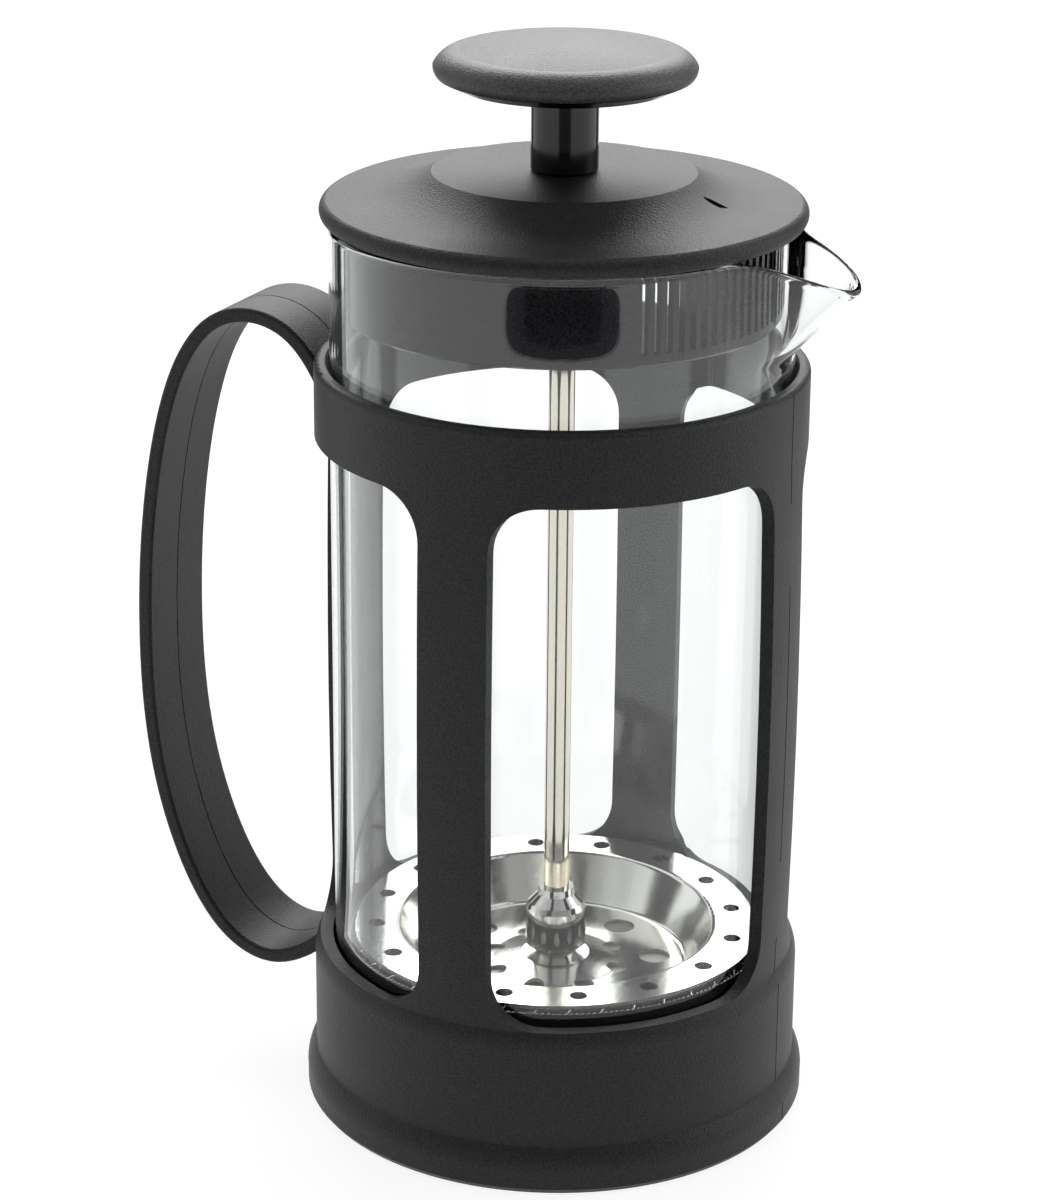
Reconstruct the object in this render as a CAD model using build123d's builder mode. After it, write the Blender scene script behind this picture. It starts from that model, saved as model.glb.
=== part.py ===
"""French press: plastic frame with handle, glass beaker, lid and plunger.

Row frame, millimetres: +Z up, origin at the centre of the foot's underside,
spout towards +X, handle towards -X.
"""
from build123d import *
from math import degrees
import os

# ---------------------------------------------------------------- frame
BORE_R = 35.4            # bore that holds the glass
SHELL_R = 37.4           # outside of ring and columns
BASE_R = 38.2            # outside of the base cup
FOOT_R = 39.6            # bead round the foot
FLOOR_TOP = 8.3          # ledge the glass stands on
FLOOR_T = 2.0
SILL_Z = 26.2            # bottom edge of the windows
HEAD_Z = 109.0           # top edge of the windows
MIDDLE_Z = (SILL_Z + HEAD_Z) / 2
RING_TOP = 120.3
COLUMN_W = 11.2
BOW = 0.6                # how far the columns belly out at mid-height
WINDOW_R = 7.5           # window corners
DRAIN_R = 12.0           # opening in the floor
HANDLE_W = 17.0
HANDLE_T = 2.3
LINE_W = 0.26            # parting line of the mould, a fine groove
LINE_DEPTH = 0.16
# middle of the handle strap in the XZ plane, from the ring down to the base
HANDLE_LINE = [(-34.5, 108.5), (-37.6, 114.9), (-43.1, 121.0), (-49.3, 122.75),
               (-55.5, 121.0), (-60.0, 116.4), (-64.5, 106.4), (-67.4, 93.8),
               (-69.6, 68.0), (-67.4, 42.0), (-63.9, 30.5), (-59.5, 21.9),
               (-53.9, 16.2), (-48.0, 14.4), (-42.0, 16.3), (-37.6, 19.8),
               (-34.5, 24.0)]

# ---------------------------------------------------------------- beaker
GLASS_R = 35.0
GLASS_T = 1.8
GLASS_BOTTOM = 8.5
GLASS_CORNER = 6.0
RIM_Z = 142.0
SPOUT_ROOT_Z = 124.0     # where the spout leaves the wall
SPOUT_TIP_R = 46.7
SPOUT_TIP_Z = 137.0
SPOUT_HALF_W = 10.5      # half width of the spout's oval at the rim
SPOUT_MIDDLE = 36.0      # middle of that oval

# ---------------------------------------------------------------- lid
BRIM_R = 36.3
BRIM_Z = 142.3           # underside of the brim, just over the glass
PLATFORM_Z = 149.3
PLATFORM_R = 19.7
SKIRT_R = 32.7
SKIRT_T = 1.5
SKIRT_Z = 128.3
STRAINER_SPAN = 90.0     # degrees, centred on the spout
SLOT_PITCH = 1.9
SLOT_W = 1.0
SLOT_Z = (130.0, 141.0)

# ---------------------------------------------------------------- plunger
ROD_R = 2.0
NECK_R = 5.05
KNOB_R = 19.5
KNOB_SEAM_Z = 163.4
KNOB_TOP_Z = 168.5
HUB_R = 4.75
HUB_Z = (22.2, 33.7)
PLATE_T = 0.5
FLANGE_Z = 28.4
FLANGE_R = 31.9
DISH_R = 25.0
DISH_FLOOR_R = 20.9
DISH_Z = 21.0
BOSS_R = 5.4             # raised seat under the hub
BOSS_Z = 22.2
COIL_R = 30.9            # middle of the coiled spring's ring
TURN_R = 1.45            # middle of the wire in one turn
WIRE_R = 0.22
COIL_Z = 26.15
TURNS = 40
MESH_T = 0.3
MESH_Z = 20.1
MESH_R = 32.95
CROSS_T = 0.6
CROSS_Z = 19.3
CROSS_R = 29.6


def window(x_side, y_side):
    """Opening between two straight-sided columns, rounded at both of them.

    x_side and y_side are the signs of its quadrant.
    """
    high, wide = HEAD_Z - SILL_Z, SHELL_R + 20
    with BuildPart() as opening:
        with BuildSketch(Plane.XZ):
            with Locations((x_side * (COLUMN_W / 2 + wide / 2), MIDDLE_Z)):
                RectangleRounded(wide, high, WINDOW_R)
        extrude(amount=wide, both=True)
        with BuildSketch(Plane.YZ):
            with Locations((y_side * (COLUMN_W / 2 + wide / 2), MIDDLE_Z)):
                RectangleRounded(wide, high, WINDOW_R)
        extrude(amount=wide, both=True, mode=Mode.INTERSECT)
    return opening.part


# ================================================================ frame
# Base cup, columns and ring start as one turned shell.
with BuildPart() as frame:
    with BuildSketch(Plane.XZ) as shell_profile:
        with BuildLine():
            Polyline((DRAIN_R, FLOOR_TOP - FLOOR_T), (FOOT_R - 2.6, FLOOR_TOP - FLOOR_T),
                     (FOOT_R - 2.6, 0), (FOOT_R - 0.7, 0))
            Line((FOOT_R - 0.7, 0), (FOOT_R, 0.9))
            Line((FOOT_R, 0.9), (FOOT_R, 3.0))
            ThreePointArc((FOOT_R, 3.0), (FOOT_R - 0.3, 5.6), (BASE_R, 7.4))
            Line((BASE_R, 7.4), (BASE_R, SILL_Z - 2.6))
            ThreePointArc((BASE_R, SILL_Z - 2.6), (BASE_R - 0.25, SILL_Z - 1.2),
                          (SHELL_R, SILL_Z))
            ThreePointArc((SHELL_R, SILL_Z), (SHELL_R + BOW, MIDDLE_Z), (SHELL_R, HEAD_Z))
            Line((SHELL_R, HEAD_Z), (SHELL_R, RING_TOP - 0.9))
            ThreePointArc((SHELL_R, RING_TOP - 0.9), (SHELL_R - 0.28, RING_TOP - 0.25),
                          (SHELL_R - 0.9, RING_TOP))
            Polyline((SHELL_R - 0.9, RING_TOP), (BORE_R + 0.3, RING_TOP),
                     (BORE_R, RING_TOP - 0.4), (BORE_R, HEAD_Z))
            ThreePointArc((BORE_R, HEAD_Z), (BORE_R + BOW, MIDDLE_Z), (BORE_R, SILL_Z))
            Polyline((BORE_R, SILL_Z), (BORE_R, FLOOR_TOP), (DRAIN_R, FLOOR_TOP),
                     (DRAIN_R, FLOOR_TOP - FLOOR_T))
        make_face()
    revolve(axis=Axis.Z)

    # One quarter window between each pair of columns.
    for x_side in (-1, 1):
        for y_side in (-1, 1):
            add(window(x_side, y_side), mode=Mode.SUBTRACT)

    # The strap leaves the ring, arches over and comes back into the base.
    with BuildLine(Plane.XZ) as strap_line:
        Spline(*HANDLE_LINE)
    with BuildSketch(Plane(origin=strap_line.line @ 0, x_dir=(0, 1, 0),
                           z_dir=strap_line.line % 0)):
        RectangleRounded(HANDLE_W, HANDLE_T, 0.55)
        with Locations((0, HANDLE_T / 2), (0, -HANDLE_T / 2)):
            Rectangle(LINE_W, 2 * LINE_DEPTH, mode=Mode.SUBTRACT)
    sweep(path=strap_line.line)
    with Locations((0, 0, FLOOR_TOP)):
        Cylinder(BORE_R, RING_TOP, align=(Align.CENTER, Align.CENTER, Align.MIN),
                 mode=Mode.SUBTRACT)

    # The mould's parting line runs up the spout side of foot, cup and column.
    for radius, low, high in ((FOOT_R, 0, 4.0), (BASE_R, 7.4, SILL_Z - 1.8),
                              (SHELL_R, SILL_Z, 45), (SHELL_R + BOW * 0.85, 45, 90),
                              (SHELL_R, 90, RING_TOP)):
        with Locations((radius, 0, (low + high) / 2)):
            Box(2 * LINE_DEPTH, LINE_W, high - low, mode=Mode.SUBTRACT)

# ================================================================ beaker
inner_r = GLASS_R - GLASS_T
spout_slope = (SPOUT_TIP_R - GLASS_R) / (SPOUT_TIP_Z - SPOUT_ROOT_Z)
SPOUT_TOP_Z = RIM_Z + 1


def spout_section(z, inset):
    """Oval cross-section of the spout at height z; its rear lies inside the wall."""
    share = (z - SPOUT_ROOT_Z) / (SPOUT_TOP_Z - SPOUT_ROOT_Z)
    reach = GLASS_R + (z - SPOUT_ROOT_Z) * spout_slope
    middle = inner_r + 0.7 + (SPOUT_MIDDLE - inner_r - 0.7) * share
    half_w = 1.0 + (SPOUT_HALF_W - 1.0) * share
    with BuildSketch(Plane.XY.offset(z)) as section:
        with Locations((middle, 0)):
            Ellipse(reach - middle - inset, max(half_w - inset, 0.5))
    return section.sketch


with BuildPart() as spout_hollow:
    loft([spout_section(SPOUT_ROOT_Z + 3.5, GLASS_T), spout_section(SPOUT_TOP_Z, GLASS_T)])

with BuildPart() as beaker:
    # The seam of the turned body is put at the back, away from the spout, and
    # the loft starts inside the wall. Where they touched along the seam, the
    # fuse gave a valid solid without the spout.
    with BuildSketch(Plane.YZ):
        with BuildLine():
            Polyline((0, GLASS_BOTTOM), (GLASS_R - GLASS_CORNER, GLASS_BOTTOM))
            RadiusArc((GLASS_R - GLASS_CORNER, GLASS_BOTTOM),
                      (GLASS_R, GLASS_BOTTOM + GLASS_CORNER), -GLASS_CORNER)
            Polyline((GLASS_R, GLASS_BOTTOM + GLASS_CORNER), (GLASS_R, RIM_Z), (0, RIM_Z),
                     (0, GLASS_BOTTOM))
        make_face()
    revolve(axis=Axis.Z)
    loft([spout_section(SPOUT_ROOT_Z - 0.6, 0), spout_section(SPOUT_TOP_Z, 0)])
    with BuildSketch(Plane.YZ):
        with BuildLine():
            floor_z, inner_corner = GLASS_BOTTOM + GLASS_T + 0.2, GLASS_CORNER - GLASS_T
            Line((0, floor_z), (inner_r - inner_corner, floor_z))
            RadiusArc((inner_r - inner_corner, floor_z), (inner_r, floor_z + inner_corner),
                      -inner_corner)
            Polyline((inner_r, floor_z + inner_corner), (inner_r, RIM_Z + 5), (0, RIM_Z + 5),
                     (0, floor_z))
        make_face()
    revolve(axis=Axis.Z, mode=Mode.SUBTRACT)
    add(spout_hollow.part, mode=Mode.SUBTRACT)
    # The lip of the spout droops below the rim.
    with BuildSketch(Plane.XZ):
        Polygon((inner_r - 14, RIM_Z), (inner_r, RIM_Z), (SPOUT_TIP_R, SPOUT_TIP_Z),
                (SPOUT_TIP_R + 8, SPOUT_TIP_Z - 3), (SPOUT_TIP_R + 8, RIM_Z + 9),
                (inner_r - 14, RIM_Z + 9), align=None)
    extrude(amount=20, both=True, mode=Mode.SUBTRACT)

# ================================================================ lid
with BuildPart() as lid:
    with BuildSketch(Plane.XZ):
        with BuildLine():
            Polyline((ROD_R + 0.2, PLATFORM_Z), (PLATFORM_R, PLATFORM_Z - 0.1))
            ThreePointArc((PLATFORM_R, PLATFORM_Z - 0.1), (25.2, 146.6), (30.0, 145.6))
            Polyline((30.0, 145.6), (BRIM_R - 1.0, 145.1))
            ThreePointArc((BRIM_R - 1.0, 145.1), (BRIM_R, 143.9), (BRIM_R - 0.7, BRIM_Z))
            Polyline((BRIM_R - 0.7, BRIM_Z), (SKIRT_R, BRIM_Z), (SKIRT_R, SKIRT_Z + 0.4),
                     (SKIRT_R - 0.4, SKIRT_Z), (SKIRT_R - SKIRT_T, SKIRT_Z),
                     (SKIRT_R - SKIRT_T, 143.6), (24.5, 145.2), (PLATFORM_R - 0.8, 147.6),
                     (4.6, 147.7), (4.6, 143.0), (ROD_R + 0.2, 143.0),
                     (ROD_R + 0.2, PLATFORM_Z))
        make_face()
    revolve(axis=Axis.Z)
    # Strainer slots face the spout.
    slot_step = degrees(SLOT_PITCH / SKIRT_R)
    slots = int(STRAINER_SPAN / slot_step) + 1
    with PolarLocations(SKIRT_R - SKIRT_T / 2, slots, start_angle=-slot_step * (slots - 1) / 2,
                        angular_range=slot_step * (slots - 1), endpoint=True):
        with Locations((0, 0, sum(SLOT_Z) / 2)):
            Box(4, SLOT_W, SLOT_Z[1] - SLOT_Z[0], mode=Mode.SUBTRACT)
    # Leaf-shaped mark that lines up with the spout.
    with BuildSketch(Plane.XY.offset(146.35)):
        with Locations((24.4, 0)):
            Ellipse(2.1, 0.75)
    extrude(amount=3, mode=Mode.SUBTRACT)

# ================================================================ knob
with BuildPart() as knob_cap:
    with BuildSketch(Plane.XZ):
        with BuildLine():
            ThreePointArc((0, KNOB_TOP_Z), (9, KNOB_TOP_Z - 0.35), (15.6, KNOB_TOP_Z - 1.25))
            ThreePointArc((15.6, KNOB_TOP_Z - 1.25), (18.5, KNOB_TOP_Z - 2.2), (KNOB_R, 165.0))
            ThreePointArc((KNOB_R, 165.0), (KNOB_R - 0.15, 164.1), (KNOB_R - 0.6, KNOB_SEAM_Z))
            Polyline((KNOB_R - 0.6, KNOB_SEAM_Z), (17.2, KNOB_SEAM_Z), (17.2, KNOB_TOP_Z - 3.0),
                     (0, KNOB_TOP_Z - 2.2), (0, KNOB_TOP_Z))
        make_face()
    revolve(axis=Axis.Z)

with BuildPart() as knob_stem:
    with BuildSketch(Plane.XZ):
        with BuildLine():
            Polyline((ROD_R, PLATFORM_Z + 0.1), (NECK_R - 0.3, PLATFORM_Z + 0.1),
                     (NECK_R, PLATFORM_Z + 0.4), (NECK_R, 161.4), (NECK_R + 0.8, 162.1),
                     (KNOB_R - 3.2, 162.1), (KNOB_R - 0.8, KNOB_SEAM_Z - 0.1),
                     (17.0, KNOB_SEAM_Z - 0.1), (17.0, KNOB_SEAM_Z + 0.7), (7.0, KNOB_SEAM_Z + 0.7),
                     (7.0, 165.9), (ROD_R, 165.9), (ROD_R, PLATFORM_Z + 0.1))
        make_face()
    revolve(axis=Axis.Z)
    # Hexagonal pocket for the captured nut, open at the top.
    with BuildSketch(Plane.XY.offset(162.6)):
        RegularPolygon(3.55, 6, major_radius=False)
    extrude(amount=4, mode=Mode.SUBTRACT)

with BuildPart() as knob_nut:
    with BuildSketch(Plane.XY.offset(162.6)):
        RegularPolygon(3.5, 6, major_radius=False)
        Circle(ROD_R, mode=Mode.SUBTRACT)
    extrude(amount=3.2)

# ================================================================ rod and hub
with BuildPart() as rod:
    with Locations((0, 0, 15.6)):
        Cylinder(ROD_R, 165.6 - 15.6, align=(Align.CENTER, Align.CENTER, Align.MIN))
    chamfer(rod.edges().filter_by(GeomType.CIRCLE), length=0.4)

with BuildPart() as hub_nut:
    with BuildSketch(Plane.XZ):
        with BuildLine():
            Polyline((ROD_R, HUB_Z[0]), (HUB_R - 1.6, HUB_Z[0]), (HUB_R - 1.1, HUB_Z[0] + 0.9),
                     (HUB_R, HUB_Z[0] + 1.9), (HUB_R, HUB_Z[1] - 3.4),
                     (HUB_R - 0.35, HUB_Z[1] - 2.5), (ROD_R + 1.0, HUB_Z[1] - 1.1),
                     (ROD_R + 0.8, HUB_Z[1]), (ROD_R, HUB_Z[1]), (ROD_R, HUB_Z[0]))
        make_face()
    revolve(axis=Axis.Z)

# ================================================================ filter stack
with BuildPart() as top_plate:
    with BuildSketch(Plane.XZ):
        with BuildLine():
            t = PLATE_T
            Polyline((ROD_R, BOSS_Z), (BOSS_R, BOSS_Z), (BOSS_R + 4.6, DISH_Z),
                     (DISH_FLOOR_R, DISH_Z), (DISH_R, FLANGE_Z), (FLANGE_R, FLANGE_Z),
                     (FLANGE_R, FLANGE_Z - t), (DISH_R + 0.3, FLANGE_Z - t),
                     (DISH_FLOOR_R + 0.3, DISH_Z - t), (BOSS_R + 4.4, DISH_Z - t),
                     (BOSS_R - 0.2, BOSS_Z - t), (ROD_R, BOSS_Z - t), (ROD_R, BOSS_Z))
        make_face()
    revolve(axis=Axis.Z)
    fillet(top_plate.edges().filter_by(GeomType.CIRCLE)
           .filter_by(lambda e: abs(e.radius - DISH_R) < 0.01
                      or abs(e.radius - DISH_FLOOR_R) < 0.01
                      or abs(e.radius - BOSS_R - 4.6) < 0.01), radius=1.0)
    with PolarLocations(28.5, 16, start_angle=9.2):
        Hole(1.35)
    with PolarLocations(15.9, 8, start_angle=28.6):
        Hole(2.5)
    with PolarLocations(10.3, 8, start_angle=6.1):
        Hole(1.6)

# The coil's turns are closed loops, held together by one hoop under them.
with BuildPart() as spiral_spring:
    with Locations((0, 0, COIL_Z - TURN_R + 0.15)):
        Torus(COIL_R, WIRE_R + 0.08)
    with PolarLocations(COIL_R, TURNS):
        with Locations((0, 0, COIL_Z)):
            Torus(TURN_R, WIRE_R, rotation=(90, 0, 0))

with BuildPart() as mesh_screen:
    with BuildSketch(Plane.XZ):
        with BuildLine():
            t = MESH_T
            Polyline((ROD_R, MESH_Z), (21.4, MESH_Z), (27.2, 24.1), (MESH_R - 0.6, 24.1),
                     (MESH_R, 24.7), (MESH_R, 27.4), (MESH_R - t, 27.4), (MESH_R - t, 24.8),
                     (MESH_R - 0.75, 24.1 + t), (27.0, 24.1 + t), (21.2, MESH_Z + t),
                     (ROD_R, MESH_Z + t), (ROD_R, MESH_Z))
        make_face()
    revolve(axis=Axis.Z)

with BuildPart() as cross_plate:
    with BuildSketch(Plane.XZ):
        with BuildLine():
            t = CROSS_T
            Polyline((ROD_R, CROSS_Z), (21.6, CROSS_Z), (27.2, 23.2), (CROSS_R, 23.2),
                     (CROSS_R, 23.2 + t), (27.0, 23.2 + t), (21.4, CROSS_Z + t),
                     (ROD_R, CROSS_Z + t), (ROD_R, CROSS_Z))
        make_face()
    revolve(axis=Axis.Z)
    # Four round openings leave a cross of arms.
    with PolarLocations(14.2, 4, start_angle=45):
        Hole(6.2)

with BuildPart() as cross_nut:
    with BuildSketch(Plane.XZ):
        with BuildLine():
            Polyline((ROD_R, CROSS_Z), (5.2, CROSS_Z), (5.2, CROSS_Z - 0.8), (4.0, CROSS_Z - 0.8),
                     (4.0, CROSS_Z - 3.4), (3.6, CROSS_Z - 3.8), (ROD_R, CROSS_Z - 3.8),
                     (ROD_R, CROSS_Z))
        make_face()
    revolve(axis=Axis.Z)

# A fuse or a cut can lose a whole feature and still leave one valid solid, so
# the features that stand out are measured before anything is written.
for part_name, found, wanted in (
        ("spout", beaker.part.bounding_box().max.X, SPOUT_TIP_R),
        ("beaker rim", beaker.part.bounding_box().max.Z, RIM_Z),
        ("beaker foot", beaker.part.bounding_box().min.Z, GLASS_BOTTOM),
        ("lid brim", lid.part.bounding_box().max.Y, BRIM_R),
        ("lid skirt", lid.part.bounding_box().min.Z, SKIRT_Z),
        ("knob", knob_cap.part.bounding_box().max.Y, KNOB_R),
        ("filter plate", top_plate.part.bounding_box().max.Y, FLANGE_R),
        ("screen", mesh_screen.part.bounding_box().max.Y, MESH_R)):
    print(f"{part_name}: {found:.2f} mm, wanted {wanted:.2f} mm")
    if abs(found - wanted) > 0.3:
        raise ValueError(f"PROBLEM: the {part_name} is at {found:.2f} mm, not {wanted:.2f} mm")

os.makedirs("parts", exist_ok=True)

frame.part.label = "frame"
export_step(frame.part, "parts/frame.step")
beaker.part.label = "beaker"
export_step(beaker.part, "parts/beaker.step")
lid.part.label = "lid"
export_step(lid.part, "parts/lid.step")
knob_cap.part.label = "knob_cap"
export_step(knob_cap.part, "parts/knob_cap.step")
knob_stem.part.label = "knob_stem"
export_step(knob_stem.part, "parts/knob_stem.step")
knob_nut.part.label = "knob_nut"
export_step(knob_nut.part, "parts/knob_nut.step")
rod.part.label = "rod"
export_step(rod.part, "parts/rod.step")
hub_nut.part.label = "hub_nut"
export_step(hub_nut.part, "parts/hub_nut.step")
top_plate.part.label = "top_plate"
export_step(top_plate.part, "parts/top_plate.step")
spiral_spring.part.label = "spiral_spring"
export_step(spiral_spring.part, "parts/spiral_spring.step")
mesh_screen.part.label = "mesh_screen"
export_step(mesh_screen.part, "parts/mesh_screen.step")
cross_plate.part.label = "cross_plate"
export_step(cross_plate.part, "parts/cross_plate.step")
cross_nut.part.label = "cross_nut"
export_step(cross_nut.part, "parts/cross_nut.step")
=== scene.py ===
# %% [markdown]
# # A french press, built piece by piece
#
# The mechanical model is loaded first. It gives every part its place, so the
# Blender pieces go exactly where the solids are and nothing has to be fitted.

# %% Load the mechanical frame
import math

import bmesh
import bpy
import numpy as np
from mathutils import Matrix, Vector


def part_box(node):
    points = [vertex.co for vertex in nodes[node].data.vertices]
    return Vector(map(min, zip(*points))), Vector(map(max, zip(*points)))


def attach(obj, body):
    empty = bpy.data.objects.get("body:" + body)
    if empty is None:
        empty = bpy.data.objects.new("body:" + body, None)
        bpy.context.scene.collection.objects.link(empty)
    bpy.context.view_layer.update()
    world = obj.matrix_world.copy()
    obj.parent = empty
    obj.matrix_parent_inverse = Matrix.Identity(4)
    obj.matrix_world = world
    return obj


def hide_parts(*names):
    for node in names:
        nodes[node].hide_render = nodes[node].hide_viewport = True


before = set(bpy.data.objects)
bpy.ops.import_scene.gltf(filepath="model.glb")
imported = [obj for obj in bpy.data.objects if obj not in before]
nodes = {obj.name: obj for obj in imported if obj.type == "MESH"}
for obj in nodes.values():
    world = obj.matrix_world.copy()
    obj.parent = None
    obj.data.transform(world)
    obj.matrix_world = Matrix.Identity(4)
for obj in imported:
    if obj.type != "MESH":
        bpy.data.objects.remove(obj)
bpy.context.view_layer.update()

MM = 0.001

# %% [markdown]
# ## Camera
#
# A product camera stands in front of the press and a little above it, with a
# long lens, so the verticals hardly converge. It is turned round the pot's
# axis until the handle is on the left and the spout on the right.

# %% Place the camera
CAM_AZIMUTH = math.radians(24.6)    # turned round the pot from looking along +Y
CAM_DISTANCE = 523.2 * MM           # from the pot's axis, measured level
CAM_HEIGHT = 274.9 * MM
CAM_PITCH = math.radians(20.28)     # looking down
CAM_YAW = math.radians(0.48)
CAM_ROLL = math.radians(0.5)
SENSOR_WIDTH, FOCAL_LENGTH = 36.0, 108.6    # in mm, as Blender wants them

camera_data = bpy.data.cameras.new("camera")
camera_data.sensor_width = SENSOR_WIDTH
camera_data.lens = FOCAL_LENGTH
camera_data.clip_start = 10 * MM
camera = bpy.data.objects.new("camera", camera_data)
bpy.context.scene.collection.objects.link(camera)
camera.matrix_world = (
    Matrix.Rotation(CAM_AZIMUTH, 4, "Z")
    @ Matrix.Translation((0, -CAM_DISTANCE, CAM_HEIGHT))
    @ Matrix.Rotation(CAM_YAW, 4, "Z")
    @ Matrix.Rotation(math.pi / 2 - CAM_PITCH, 4, "X")
    @ Matrix.Rotation(CAM_ROLL, 4, "Z")
)
bpy.context.scene.camera = camera
print("camera at", [round(v, 3) for v in camera.matrix_world.translation])

# %% [markdown]
# ## Colours and nodes
#
# Colours are picked as the eye sees them, as sRGB hex values, but a shader
# works in linear light, so one function converts them. One more function adds
# a node: its settings are the node's own properties, and each of its inputs is
# given either a value or another node's output to follow.

# %% Helpers for colours and nodes
WHITE = (1, 1, 1, 1)


def linear(hex_colour):
    """sRGB hex to a linear RGBA tuple."""
    channels = [int(hex_colour[i:i + 2], 16) / 255 for i in (1, 3, 5)]
    return tuple(c / 12.92 if c <= 0.04045 else ((c + 0.055) / 1.055) ** 2.4
                 for c in channels) + (1.0,)


def add_node(tree, kind, inputs=None, **settings):
    """Adds a node; an input's value is a number, a colour or a socket to link."""
    node = tree.nodes.new(kind)
    for key, value in settings.items():
        setattr(node, key, value)
    for key, value in (inputs or {}).items():
        if isinstance(value, bpy.types.NodeSocket):
            tree.links.new(value, node.inputs[key])
        else:
            node.inputs[key].default_value = value
    return node


def new_material(name):
    """An empty node material; returns it, its tree and its shader."""
    material = bpy.data.materials.new(name)
    material.use_nodes = True
    tree = material.node_tree
    return material, tree, tree.nodes["Principled BSDF"]


def dress(obj, material):
    """Gives the whole object one material."""
    obj.data.materials.clear()
    obj.data.materials.append(material)


# %% [markdown]
# ## Studio
#
# Glass and chrome show what stands round them. The press stands in a white
# tent that is bright behind and beside it, and dimmer on the camera's side,
# where the tent is open. That one difference turns flat grey plastic into
# black plastic with bright upper edges. The camera itself always sees white.

# %% White tent
BACK_STRENGTH, FRONT_STRENGTH = 1.05, 0.32
DIM_FROM, DIM_TO = 0.10, -0.8       # cosine of the angle from straight behind

turn = Matrix.Rotation(CAM_AZIMUTH, 4, "Z")
world = bpy.data.worlds.new("white_tent")
bpy.context.scene.world = world
world.use_nodes = True
sky = world.node_tree
direction = add_node(sky, "ShaderNodeTexCoord").outputs["Generated"]
facing = add_node(sky, "ShaderNodeVectorMath",
                  {0: direction, 1: turn @ Vector((0, 1, 0))},
                  operation="DOT_PRODUCT")
dimming = add_node(sky, "ShaderNodeMapRange", {
    "Value": facing.outputs["Value"], "From Min": DIM_TO, "From Max": DIM_FROM,
    "To Min": FRONT_STRENGTH, "To Max": BACK_STRENGTH},
    interpolation_type="SMOOTHSTEP")
by_camera = add_node(sky, "ShaderNodeLightPath").outputs["Is Camera Ray"]
seen = add_node(sky, "ShaderNodeMix", {
    0: by_camera, 2: dimming.outputs["Result"], 3: BACK_STRENGTH})
background = sky.nodes["Background"]
sky.links.new(seen.outputs[0], background.inputs["Strength"])
background.inputs["Color"].default_value = WHITE
bpy.context.scene.view_settings.view_transform = "Standard"
print("tent: strength", BACK_STRENGTH, "behind,", FRONT_STRENGTH, "in front")


# %% Soft lights
def add_area_light(name, place, aim, size, watts):
    """A rectangular soft light at place, looking at aim, both in metres."""
    data = bpy.data.lights.new(name, "AREA")
    data.shape, data.energy = "RECTANGLE", watts
    data.size, data.size_y = size
    light = bpy.data.objects.new(name, data)
    bpy.context.scene.collection.objects.link(light)
    light.location = place
    towards = Vector(aim) - Vector(place)
    light.rotation_euler = towards.to_track_quat("-Z", "Y").to_euler()


# behind and high up: its mirror image lies in every level surface
add_area_light("back_softbox", place=turn @ Vector((0.0, 0.80, 0.66)),
               aim=(0, 0, 0.12), size=(0.8, 0.4), watts=6.6)
add_area_light("side_softbox", place=turn @ Vector((1.0, 0.1, 0.45)),
               aim=(0, 0, 0.1), size=(0.5, 0.9), watts=2.6)
print("lights:", [light.name for light in bpy.data.lights])

# %% [markdown]
# ## Floor
#
# An opal acrylic light table, large enough that every view sees only it. Most
# of its white is its own glow, which washes out the shadow. It is kept only
# just white: were it brighter, the few per cent that clear glass takes away
# would be lost, and with them the outline of the spout.

# %% Lay the floor
FLOOR_HALF = 3.0
FLOOR_DROP = 0.1 * MM       # keeps it clear of the foot's underside
FLOOR_GLOW = 0.86

mesh = bpy.data.meshes.new("floor")
mesh.from_pydata([(x * FLOOR_HALF, y * FLOOR_HALF, 0)
                  for x, y in ((-1, -1), (1, -1), (1, 1), (-1, 1))],
                 [], [(0, 1, 2, 3)])
floor = bpy.data.objects.new("floor", mesh)
bpy.context.scene.collection.objects.link(floor)
floor.location.z = -FLOOR_DROP
opal, tree, shader = new_material("opal_acrylic_light_table")
shader.inputs["Base Color"].default_value = linear("#6e6e6d")
shader.inputs["Roughness"].default_value = 0.9
shader.inputs["Emission Color"].default_value = WHITE
shader.inputs["Emission Strength"].default_value = FLOOR_GLOW
dress(floor, opal)
print("floor:", 2 * FLOOR_HALF, "m square")

# %% [markdown]
# ## Cards and flags
#
# Cards stand round the table, seen only in reflections and through the glass.
# The polished skirt is a cylinder, and what it mirrors as an upright block is
# a strip of the floor that curves round the pot, so that card is a piece of a
# ring with rounded corners, with a grey one under it for softer shoulders. Two
# dark flags stand just out of view behind the pot: clear glass on white
# has no outline until something dark is there for its edges to bend into view.

# %% Helpers for cards
RING_POINTS = 48


def card_finish(name, colour):
    """Matt card that mirrors nothing."""
    material, tree, shader = new_material(name)
    shader.inputs["Base Color"].default_value = linear(colour)
    shader.inputs["Roughness"].default_value = 1.0
    shader.inputs["Specular IOR Level"].default_value = 0.0
    return material


def add_panel(name, finish, points):
    """A flat card through the points, seen only in reflections and glass."""
    mesh = bpy.data.meshes.new(name)
    mesh.from_pydata([turn @ Vector(p) for p in points], [],
                     [tuple(range(len(points)))])
    card = bpy.data.objects.new(name, mesh)
    bpy.context.scene.collection.objects.link(card)
    card.visible_camera = card.visible_diffuse = card.visible_shadow = False
    dress(card, finish)


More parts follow.
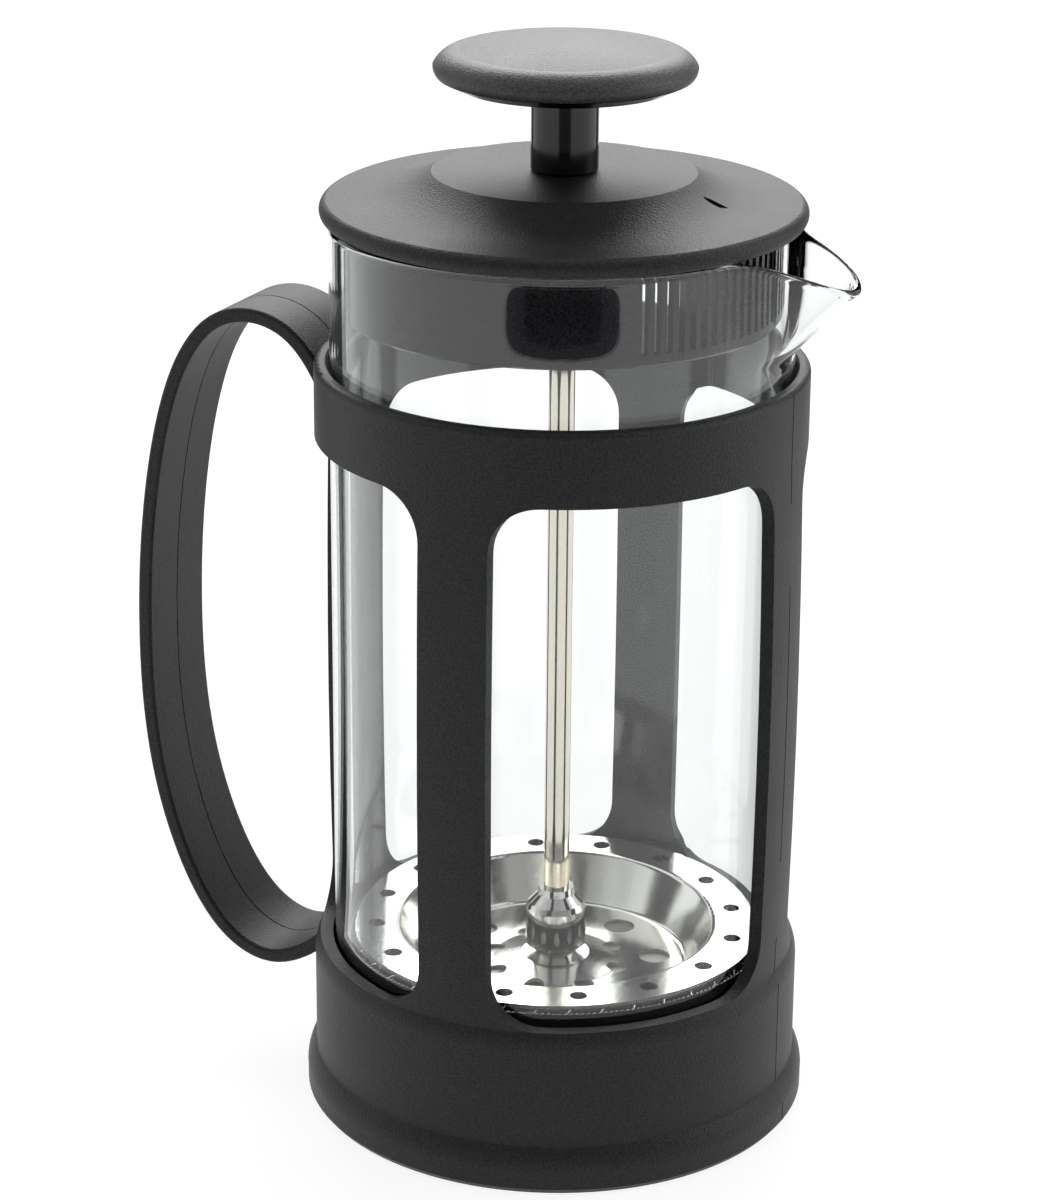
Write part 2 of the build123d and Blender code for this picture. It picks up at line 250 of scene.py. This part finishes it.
def add_ring_card(name, finish, near_r, far_r, half_angle, corner, height):
    """A piece of a flat ring in front; corner is its share of each half side."""
    middle, half = (near_r + far_r) / 2, (far_r - near_r) / 2
    points = []
    for step in range(RING_POINTS):
        angle = 2 * math.pi * step / RING_POINTS
        # a squared circle: straight sides, round corners
        u, v = (math.copysign(abs(f(angle)) ** corner, f(angle))
                for f in (math.cos, math.sin))
        radius, turned = middle + half * v, half_angle * u
        points.append((radius * math.sin(turned), -radius * math.cos(turned), height))
    add_panel(name, finish, points)


# %% Set out the cards and flags
CARD_LEVEL, SHOULDER_LEVEL = 4 * MM, 2 * MM
FLAG_NEAR, FLAG_FAR = 0.17, 0.30    # from the middle of the view, sideways
FLAG_BACK, FLAG_TOP = 0.28, 0.42    # behind the pot's axis, and up

black_card = card_finish("blue_black_card", "#04040c")
grey_card = card_finish("grey_card", "#4a4a55")
dark_flag = card_finish("charcoal_flag", "#3a3a3a")
add_ring_card("shoulder_card", grey_card, near_r=0.468, far_r=0.545,
              half_angle=math.radians(27), corner=0.5, height=SHOULDER_LEVEL)
add_ring_card("skirt_card", black_card, near_r=0.474, far_r=0.540,
              half_angle=math.radians(18), corner=0.32, height=CARD_LEVEL)
add_ring_card("neck_card", black_card, near_r=0.60, far_r=1.10,
              half_angle=math.radians(20), corner=0.1, height=CARD_LEVEL)
for side, name in ((-1, "left_flag"), (1, "right_flag")):
    add_panel(name, dark_flag, [
        (side * FLAG_NEAR, FLAG_BACK, 0.0), (side * FLAG_FAR, FLAG_BACK, 0.0),
        (side * FLAG_FAR, FLAG_BACK, FLAG_TOP), (side * FLAG_NEAR, FLAG_BACK, FLAG_TOP)])
print("three cards and two flags")

# %% [markdown]
# ## Black moulded plastic
#
# The frame, the lid's top and the knob are polypropylene moulded in a
# spark-eroded tool. That leaves an even, pebbly grain about a sixth of a
# millimetre wide, which spreads highlights into a soft charcoal sheen. The
# lid's skirt and the knob's neck are moulded against polished steel, so they
# are glossy and look much blacker.

# %% Recipe for grained plastic
GRAIN = 0.16 * MM           # width of one pebble, half a wave of the noise
GRAIN_DEPTH = 0.05 * MM
POLISH_EDGE = 0.1 * MM      # over which the grain fades into the polish
PLASTIC_IOR = 1.49          # polypropylene
POLISHED_ROUGHNESS = 0.1


def grained_plastic(name, colour, worn_colour, polished_below=None):
    """Matt black polypropylene with a spark-eroded grain.

    Below the height polished_below, in metres, the tool was polished, so the
    same plastic is glossy and shows no grain.
    """
    material, tree, shader = new_material(name)
    place = add_node(tree, "ShaderNodeTexCoord").outputs["Object"]
    grain = add_node(tree, "ShaderNodeTexNoise", {
        "Vector": place, "Scale": 0.5 / GRAIN, "Detail": 2.0, "Roughness": 0.55})
    # broad patches, about two centimetres across, where the sheen varies
    broad = add_node(tree, "ShaderNodeTexNoise", {
        "Vector": place, "Scale": 45.0, "Detail": 2.0})
    pebbles = add_node(tree, "ShaderNodeMapRange", {
        "Value": grain.outputs["Fac"], "From Min": 0.35, "From Max": 0.65})
    pebbles = pebbles.outputs["Result"]
    tint = add_node(tree, "ShaderNodeMix", {
        0: pebbles, 6: linear(colour), 7: linear(worn_colour)}, data_type="RGBA")
    tree.links.new(tint.outputs[2], shader.inputs["Base Color"])
    rough = add_node(tree, "ShaderNodeMapRange", {
        "Value": broad.outputs["Fac"], "To Min": 0.4, "To Max": 0.5})
    height, roughness = pebbles, rough.outputs["Result"]
    if polished_below is not None:
        z = add_node(tree, "ShaderNodeSeparateXYZ", {"Vector": place}).outputs["Z"]
        matt = add_node(tree, "ShaderNodeMapRange", {
            "Value": z, "From Min": polished_below,
            "From Max": polished_below + POLISH_EDGE})
        matt = matt.outputs["Result"]
        height = add_node(tree, "ShaderNodeMath", {0: height, 1: matt},
                          operation="MULTIPLY").outputs[0]
        blend = add_node(tree, "ShaderNodeMix", {
            0: matt, 2: POLISHED_ROUGHNESS, 3: roughness})
        roughness = blend.outputs[0]
    tree.links.new(roughness, shader.inputs["Roughness"])
    bump = add_node(tree, "ShaderNodeBump", {
        "Height": height, "Strength": 0.8, "Distance": GRAIN_DEPTH})
    tree.links.new(bump.outputs["Normal"], shader.inputs["Normal"])
    shader.inputs["IOR"].default_value = PLASTIC_IOR
    shader.inputs["Specular IOR Level"].default_value = 0.27
    return material


# %% Grained plastics
BRIM_DEPTH = 6.9 * MM       # from the lid's top down to where the skirt starts
BLACK, BLACK_PEBBLE = "#0d0d10", "#232326"

skirt_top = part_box("lid")[1].z - BRIM_DEPTH
frame_plastic = grained_plastic("polypropylene_black_grained", BLACK, BLACK_PEBBLE)
lid_plastic = grained_plastic("polypropylene_black_grained_and_polished",
                              BLACK, BLACK_PEBBLE, polished_below=skirt_top)

# the knob is handled most: its grain is worn smoother, so it has more sheen; its lighter
# pebble colour is partly that wear and partly painted sheen, to brighten the highlight
# on its top
knob_plastic = grained_plastic("polypropylene_black_worn_grain_painted_sheen", "#151516", "#383837")
knob_shader = knob_plastic.node_tree.nodes["Principled BSDF"]
knob_shader.inputs["Specular IOR Level"].default_value = 0.5
print("lid is polished below", round(skirt_top / MM, 1), "mm")

# %% Polished plastic
glossy_plastic, tree, shader = new_material("polypropylene_black_polished")
shader.inputs["Base Color"].default_value = linear("#060608")
shader.inputs["IOR"].default_value = PLASTIC_IOR
place = add_node(tree, "ShaderNodeTexCoord").outputs["Object"]
# faint flow marks of the moulding, about 4 mm long
flow = add_node(tree, "ShaderNodeTexNoise", {
    "Vector": place, "Scale": 250.0, "Detail": 2.0})
rough = add_node(tree, "ShaderNodeMapRange", {
    "Value": flow.outputs["Fac"], "To Min": 0.1, "To Max": 0.2})
tree.links.new(rough.outputs["Result"], shader.inputs["Roughness"])
print("plastics:", frame_plastic.name, lid_plastic.name, glossy_plastic.name)

# %% [markdown]
# ## Glass
#
# Laboratory-type borosilicate glass, 1.8 mm thick. It is colourless face on and
# faintly green where light runs along inside the wall, as at the rim. That is
# not painted: the glass absorbs a little light per metre, and at the edges the
# way through it is ten times longer, so the outline draws itself.

# %% Glass finish
WALL = 1.8 * MM
GLASS_DENSITY = 110.0       # per metre, at full strength of the absorbed colour
GLASS_TINT = (0.74, 0.82, 0.79, 1)

glass, tree, shader = new_material("borosilicate_glass_clear")
shader.inputs["Base Color"].default_value = WHITE
shader.inputs["Transmission Weight"].default_value = 1.0
shader.inputs["IOR"].default_value = 1.47
shader.inputs["Roughness"].default_value = 0.0
absorb = add_node(tree, "ShaderNodeVolumeAbsorption", {
    "Color": GLASS_TINT, "Density": GLASS_DENSITY})
tree.links.new(absorb.outputs["Volume"], tree.nodes["Material Output"].inputs["Volume"])
green_kept = math.exp(-GLASS_DENSITY * (1 - GLASS_TINT[1]) * WALL)
print("one wall lets through", round(100 * green_kept, 1), "% of green light")

# %% [markdown]
# ## Steel
#
# The rod and hub are polished stainless steel, the plates are pressed from
# bright sheet, and the spring is drawn wire. Pressed sheet keeps faint rolling
# lines, so its roughness is stretched along one direction.

# %% Steel finishes
FINE_LINES, BROAD_LINES = 900, 400  # waves to the metre, coarse so that they show


def steel(name, colour, low, high, stretch, scale):
    """Stainless steel whose roughness runs from low to high along fine lines."""
    material, tree, shader = new_material(name)
    place = add_node(tree, "ShaderNodeTexCoord").outputs["Object"]
    along = add_node(tree, "ShaderNodeMapping", {"Vector": place, "Scale": stretch})
    lines = add_node(tree, "ShaderNodeTexNoise", {
        "Vector": along.outputs["Vector"], "Scale": scale, "Detail": 3.0})
    rough = add_node(tree, "ShaderNodeMapRange", {
        "Value": lines.outputs["Fac"], "To Min": low, "To Max": high})
    tree.links.new(rough.outputs["Result"], shader.inputs["Roughness"])
    shader.inputs["Base Color"].default_value = linear(colour)
    shader.inputs["Metallic"].default_value = 1.0
    return material


rod_steel = steel("stainless_steel_polished_rod", "#e2dcd0",
                  0.05, 0.1, (1, 1, 0.05), FINE_LINES)
hub_steel = steel("stainless_steel_polished_hub", "#c9c8c6",
                  0.04, 0.1, (1, 1, 1), BROAD_LINES)
sheet_steel = steel("stainless_steel_pressed_sheet", "#efeeea",
                    0.1, 0.22, (1, 0.06, 1), FINE_LINES)
wire_steel = steel("stainless_steel_spring_wire", "#cfcdc8",
                   0.12, 0.2, (1, 1, 1), FINE_LINES)
print("steels:", rod_steel.name, hub_steel.name, sheet_steel.name, wire_steel.name)

# %% [markdown]
# ## Wire cloth
#
# The screen is plain-woven wire cloth, about 30 wires to the centimetre. Both
# sets of wires are drawn as waves across the cloth: the bump makes them round,
# and the gaps between them are painted dark, as painted shade for the dark space seen
# through the cloth.

# %% Weave of the cloth
THREAD = 0.42 * MM          # spacing of the wires, a little coarse so that it shows
CLOTH_DEPTH = 0.12 * MM

cloth_steel, tree, shader = new_material("stainless_steel_woven_cloth")
place = add_node(tree, "ShaderNodeTexCoord").outputs["Object"]
weave = []
# each set of wires leans up as well as across, so that the cloth also reads as
# woven where its edge is turned up
for across in ((1, 0, 1), (0, 1, -1)):
    lean = add_node(tree, "ShaderNodeVectorMath", {0: place, 1: across},
                    operation="DOT_PRODUCT")
    phase = add_node(tree, "ShaderNodeMath", {
        0: lean.outputs["Value"], 1: 2 * math.pi / THREAD}, operation="MULTIPLY")
    wave = add_node(tree, "ShaderNodeMath", {0: phase.outputs[0]}, operation="SINE")
    wires = add_node(tree, "ShaderNodeMapRange", {
        "Value": wave.outputs[0], "From Min": -1.0})
    weave.append(wires.outputs["Result"])
cloth_height = add_node(tree, "ShaderNodeMath", {0: weave[0], 1: weave[1]},
                        operation="MAXIMUM").outputs[0]
gaps = add_node(tree, "ShaderNodeValToRGB", {"Fac": cloth_height})
painted_gap_shade, wire_top = gaps.color_ramp.elements
# the dark gap colour is painted shade, for the dark space seen between the wires
painted_gap_shade.position, painted_gap_shade.color = 0.45, linear("#3c3b38")
wire_top.position, wire_top.color = 0.8, linear("#e3e2dc")

# %% Finish of the cloth
TURN_UP, TURN_UP_FADE = 1.2 * MM, 0.8 * MM

# the turned-up edge is open cloth against the dark foot; its darker colour is painted
# shade, standing for the dark foot seen through the weave
edge_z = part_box("mesh_screen")[0].z + TURN_UP
z = add_node(tree, "ShaderNodeSeparateXYZ", {"Vector": place}).outputs["Z"]
painted_edge_shade = add_node(tree, "ShaderNodeMapRange", {
    "Value": z, "From Min": edge_z, "From Max": edge_z + TURN_UP_FADE})
shade = add_node(tree, "ShaderNodeMix", {
    0: painted_edge_shade.outputs["Result"], 6: gaps.outputs["Color"], 7: linear("#2b2a28")},
    data_type="RGBA")
tree.links.new(shade.outputs[2], shader.inputs["Base Color"])
bump = add_node(tree, "ShaderNodeBump", {
    "Height": cloth_height, "Strength": 0.8, "Distance": CLOTH_DEPTH})
tree.links.new(bump.outputs["Normal"], shader.inputs["Normal"])
shader.inputs["Metallic"].default_value = 1.0
shader.inputs["Roughness"].default_value = 0.3
print("cloth: one wire every", THREAD / MM, "mm")

# %% [markdown]
# ## Parts that keep their solid
#
# Turned and moulded parts have the right shape already. They only need their
# finish.

# %% Dress the CAD nodes
for name, finish in (
        ("frame", frame_plastic), ("lid", lid_plastic), ("knob_cap", knob_plastic),
        ("knob_stem", glossy_plastic), ("knob_nut", hub_steel), ("rod", rod_steel),
        ("hub_nut", hub_steel), ("top_plate", sheet_steel),
        ("mesh_screen", cloth_steel), ("cross_plate", sheet_steel),
        ("cross_nut", hub_steel)):
    dress(nodes[name], finish)
print("dressed", [n for n in nodes if nodes[n].data.materials])

# %% [markdown]
# ## Glass beaker
#
# A beaker is a blown tube whose lip is pulled out with a warm tool into a
# spout. A boolean of tube and cone would meet in a hard crease, which glass
# never has. So the wall is one grid of points, round the pot and up its
# profile, and the spout is a bulge added to the radius: it grows from its root
# to the lip, and dies away to both sides. The inside has its own profile, with
# the same bulge, so it can never cross the outside, and a half-round rim joins
# the two.

# %% Measure the beaker
glass_low, glass_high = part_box("beaker")
GLASS_R = glass_high.y
CORNER = 6.0 * MM
GLASS_FLOOR = WALL + 0.2 * MM       # the floor is a little thicker than the wall
RIM_R = WALL / 2
SPOUT_ROOT = glass_high.z - 18.0 * MM
SPOUT_REACH = glass_high.x - GLASS_R
SPOUT_DROOP = 5.0 * MM              # how far the tip hangs below the rim
SPOUT_RISE = glass_high.z - RIM_R - SPOUT_DROOP - SPOUT_ROOT
SPOUT_ANGLE = math.radians(11.7)    # half width, seen from the pot's axis
SPOUT_SHAPE = 2.1                   # 2 is a soft wave, higher is a fuller tongue
SPOUT_ROOT_WIDTH = 0.72             # width at the root, as a share of the lip's
SPOUT_SOFTNESS = 0.012              # how gently it leaves the wall at its root
print("glass radius", round(GLASS_R / MM, 2), "mm, spout reach",
      round(SPOUT_REACH / MM, 2), "mm")


# %% Shape of the spout
def spout_bulge(angle, z):
    """How far the wall stands out beyond its round radius."""
    rise = (z - SPOUT_ROOT) / SPOUT_RISE
    growth = 0.5 * (rise + np.sqrt(rise ** 2 + SPOUT_SOFTNESS))
    width = SPOUT_ANGLE * (SPOUT_ROOT_WIDTH
                           + (1 - SPOUT_ROOT_WIDTH) * np.clip(rise, 0, 1))
    return SPOUT_REACH * growth * np.exp(-(np.abs(angle) / width) ** SPOUT_SHAPE)


def lip_height(angle):
    """Height of the rim's middle line, which droops along the spout."""
    top = glass_high.z - RIM_R
    return top - SPOUT_DROOP * np.exp(-(np.abs(angle) / SPOUT_ANGLE) ** SPOUT_SHAPE)


# %% Points of the wall
SPOUT_COLUMNS, ROUND_COLUMNS = 120, 150
SPOUT_SECTOR = 0.55         # radians to each side, where the columns are closer
FLOOR_ROWS, CORNER_ROWS, TUBE_ROWS, SPOUT_ROWS, RIM_ROWS = 8, 10, 12, 50, 9
SPOUT_RUN_UP = 5 * MM       # the bulge's rows start this far below its root

near = np.linspace(-SPOUT_SECTOR, SPOUT_SECTOR, SPOUT_COLUMNS, endpoint=False)
far = np.linspace(SPOUT_SECTOR, 2 * math.pi - SPOUT_SECTOR, ROUND_COLUMNS,
                  endpoint=False)
angles = np.concatenate([near, far])
wrapped = (angles + math.pi) % (2 * math.pi) - math.pi


def wall_rows(radius, floor_z, corner):
    """Rings of points from the middle of the floor up to the lip."""
    flat = np.linspace(0.05, 1, FLOOR_ROWS) * (radius - corner)
    turns = np.linspace(0, math.pi / 2, CORNER_ROWS)[1:]
    profile = [(r, floor_z) for r in flat]
    profile += [(radius - corner + corner * math.sin(t),
                 floor_z + corner - corner * math.cos(t)) for t in turns]
    start = SPOUT_ROOT - SPOUT_RUN_UP
    profile += [(radius, z)
                for z in np.linspace(floor_z + corner, start, TUBE_ROWS)[1:]]
    rows = [(np.full_like(angles, r), np.full_like(angles, z)) for r, z in profile]
    for step in np.linspace(0, 1, SPOUT_ROWS)[1:]:
        z = start + (lip_height(wrapped) - start) * step
        # eased in, so that the round wall below keeps its exact radius
        rows.append((radius + spout_bulge(wrapped, z) * min(1, 4 * step), z))
    return rows


outer = wall_rows(GLASS_R, glass_low.z, CORNER)
inner = wall_rows(GLASS_R - WALL, glass_low.z + GLASS_FLOOR, CORNER - WALL)
rim = [(outer[-1][0] - RIM_R + RIM_R * math.cos(t), outer[-1][1] + RIM_R * math.sin(t))
       for t in np.linspace(0, math.pi, RIM_ROWS)[1:-1]]
skin = np.array([np.stack([r * np.cos(angles), r * np.sin(angles), z], axis=-1)
                 for r, z in outer + rim + inner[::-1]])
print("wall:", skin.shape[0], "rings of", skin.shape[1], "points, tip at",
      round(skin[..., 0].max() / MM, 2), "mm")


# %% Join the points into a closed skin
def grid_object(name, grid, poles):
    """Mesh from rings of points; each end ring closes on a pole point."""
    ring_count, per_ring = grid.shape[:2]
    points = [tuple(p) for p in grid.reshape(-1, 3)] + [tuple(p) for p in poles]
    faces = []
    for i in range(ring_count - 1):
        for j in range(per_ring):
            k = (j + 1) % per_ring
            faces.append((i * per_ring + j, i * per_ring + k,
                          (i + 1) * per_ring + k, (i + 1) * per_ring + j))
    first, last = len(points) - 2, len(points) - 1
    tail = (ring_count - 1) * per_ring
    for j in range(per_ring):
        k = (j + 1) % per_ring
        faces.append((first, k, j))
        faces.append((last, tail + j, tail + k))
    mesh = bpy.data.meshes.new(name)
    mesh.from_pydata(points, [], faces)
    mesh.validate()
    bm = bmesh.new()
    bm.from_mesh(mesh)
    bmesh.ops.recalc_face_normals(bm, faces=bm.faces)
    bm.to_mesh(mesh)
    bm.free()
    mesh.shade_smooth()
    obj = bpy.data.objects.new(name, mesh)
    bpy.context.scene.collection.objects.link(obj)
    return obj


beaker_glass = grid_object("beaker_glass", skin,
                           [(0, 0, glass_low.z), (0, 0, glass_low.z + GLASS_FLOOR)])
dress(beaker_glass, glass)
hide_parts("beaker")
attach(beaker_glass, "beaker_body")
print("beaker:", len(beaker_glass.data.polygons), "faces")

# %% [markdown]
# ## Filter spring
#
# Round the filter runs a coil of fine wire, bent into a ring and hooked to
# itself. It is a rule, not a drawing: walk once round the ring while turning
# forty times round its middle line. Geometry Nodes says that with one curve
# whose points are moved by two angles. The same tree, with other sizes, makes
# the twisted selvedge along the edge of the wire cloth.

# %% Tree that winds a wire into a ring
STEPS_PER_TURN = 14
WIRE_SIDES = 8

coil_tree = bpy.data.node_groups.new("wound_wire_ring", "GeometryNodeTree")
for label in ("Ring Radius", "Turn Radius", "Wire Radius", "Height", "Turns"):
    coil_tree.interface.new_socket(label, in_out="INPUT", socket_type="NodeSocketFloat")
coil_tree.interface.new_socket("Material", in_out="INPUT",
                               socket_type="NodeSocketMaterial")
coil_tree.interface.new_socket("Geometry", in_out="OUTPUT",
                               socket_type="NodeSocketGeometry")
size = add_node(coil_tree, "NodeGroupInput").outputs
sums = {}
index = add_node(coil_tree, "GeometryNodeInputIndex").outputs[0]
# each row names a sum and says which earlier sums, sizes or numbers it takes
for label, operation, *terms in (
        ("count", "MULTIPLY", size["Turns"], STEPS_PER_TURN),
        ("share", "DIVIDE", index, "count"),
        ("around", "MULTIPLY", "share", 2 * math.pi),
        ("turning", "MULTIPLY", "around", size["Turns"]),
        ("cos_turning", "COSINE", "turning"),
        ("sin_turning", "SINE", "turning"),
        ("outward", "MULTIPLY", size["Turn Radius"], "cos_turning"),
        ("upward", "MULTIPLY", size["Turn Radius"], "sin_turning"),
        ("radius", "ADD", size["Ring Radius"], "outward"),
        ("z", "ADD", size["Height"], "upward"),
        ("cos_around", "COSINE", "around"),
        ("sin_around", "SINE", "around"),
        ("x", "MULTIPLY", "radius", "cos_around"),
        ("y", "MULTIPLY", "radius", "sin_around")):
    terms = {slot: sums[term] if isinstance(term, str) else term
             for slot, term in enumerate(terms)}
    sums[label] = add_node(coil_tree, "ShaderNodeMath", terms,
                           operation=operation).outputs[0]
print("coil:", len(sums), "sums")

# %% Lay the wire along the points
circle = add_node(coil_tree, "GeometryNodeCurvePrimitiveCircle",
                  {"Resolution": sums["count"]})
place = add_node(coil_tree, "ShaderNodeCombineXYZ", {
    "X": sums["x"], "Y": sums["y"], "Z": sums["z"]})
path = add_node(coil_tree, "GeometryNodeSetPosition", {
    "Geometry": circle.outputs["Curve"], "Position": place.outputs[0]})
section = add_node(coil_tree, "GeometryNodeCurvePrimitiveCircle", {
    "Radius": size["Wire Radius"], "Resolution": WIRE_SIDES})
wire = add_node(coil_tree, "GeometryNodeCurveToMesh", {
    "Curve": path.outputs[0], "Profile Curve": section.outputs["Curve"]})
smooth = add_node(coil_tree, "GeometryNodeSetShadeSmooth", {"Geometry": wire.outputs[0]})
real = add_node(coil_tree, "GeometryNodeRealizeInstances",
                {"Geometry": smooth.outputs[0]})
finish = add_node(coil_tree, "GeometryNodeSetMaterial", {
    "Geometry": real.outputs[0], "Material": size["Material"]})
add_node(coil_tree, "NodeGroupOutput", {"Geometry": finish.outputs[0]})
print("tree:", len(coil_tree.nodes), "nodes")


# %% Turn a tree into a plain mesh piece
def made_by(tree, name, values):
    """A mesh object holding what the tree makes with these input values."""
    carrier = bpy.data.objects.new(name + "_carrier",
                                   bpy.data.meshes.new(name + "_carrier"))
    bpy.context.scene.collection.objects.link(carrier)
    modifier = carrier.modifiers.new("make", "NODES")
    modifier.node_group = tree
    for item in tree.interface.items_tree:
        if item.in_out == "INPUT" and item.name in values:
            modifier[item.identifier] = values[item.name]
    graph = bpy.context.evaluated_depsgraph_get()
    mesh = bpy.data.meshes.new_from_object(carrier.evaluated_get(graph))
    bpy.data.objects.remove(carrier)
    piece = bpy.data.objects.new(name, mesh)
    bpy.context.scene.collection.objects.link(piece)
    return piece


# %% Wind the spring
WIRE_R = 0.22 * MM
SPRING_TURNS = 40.0

spring_low, spring_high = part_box("spiral_spring")
turn_r = (spring_high.z - spring_low.z) / 2 - WIRE_R
spring = made_by(coil_tree, "filter_spring", {
    "Ring Radius": spring_high.x - turn_r - WIRE_R, "Turn Radius": turn_r,
    "Wire Radius": WIRE_R, "Height": (spring_high.z + spring_low.z) / 2,
    "Turns": SPRING_TURNS, "Material": wire_steel})
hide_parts("spiral_spring")
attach(spring, "plunger")
print("spring:", len(spring.data.polygons), "faces")

# %% Selvedge of the wire cloth
STRAND_R = 0.1 * MM
SELVEDGE_TWISTS = 240.0

cloth_low, cloth_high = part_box("mesh_screen")
selvedge = made_by(coil_tree, "cloth_selvedge", {
    "Ring Radius": cloth_high.x - 2 * STRAND_R, "Turn Radius": STRAND_R,
    "Wire Radius": STRAND_R, "Height": cloth_high.z - STRAND_R / 2,
    "Turns": SELVEDGE_TWISTS, "Material": wire_steel})
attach(selvedge, "plunger")
print("selvedge:", len(selvedge.data.polygons), "faces")
